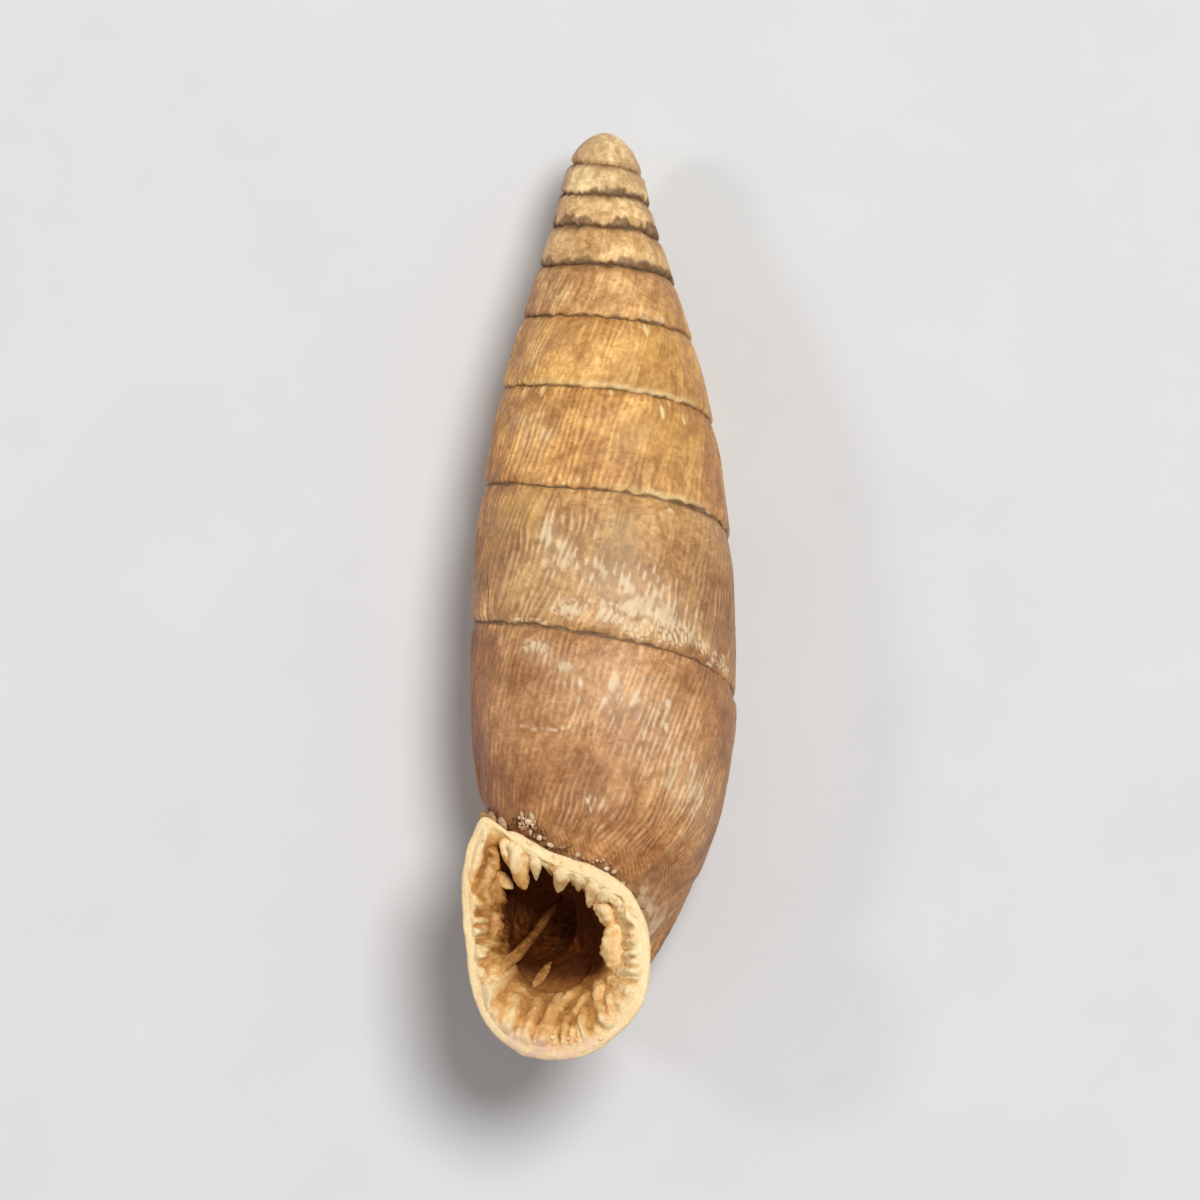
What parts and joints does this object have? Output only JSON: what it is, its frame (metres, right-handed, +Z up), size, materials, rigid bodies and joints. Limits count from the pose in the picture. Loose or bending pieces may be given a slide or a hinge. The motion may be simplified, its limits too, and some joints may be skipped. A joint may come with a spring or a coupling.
{
  "type": "door snail shell",
  "caption": "Slender left-handed land snail shell with fine ribs and a thick, folded pale lip, lying on its back with its mouth up.",
  "frame": {"origin": "centre of the shell's box at the plane it rests on", "axes": "+Y along the shell towards its apex, +Z up, the way the mouth faces"},
  "size_m": [0.0048, 0.0164, 0.0047],
  "materials": {
    "shell": "silky ribbed brown shell with a pale lip"
  },
  "bodies": {
    "root": {"shell": "shell"}
  },
  "joints": []
}
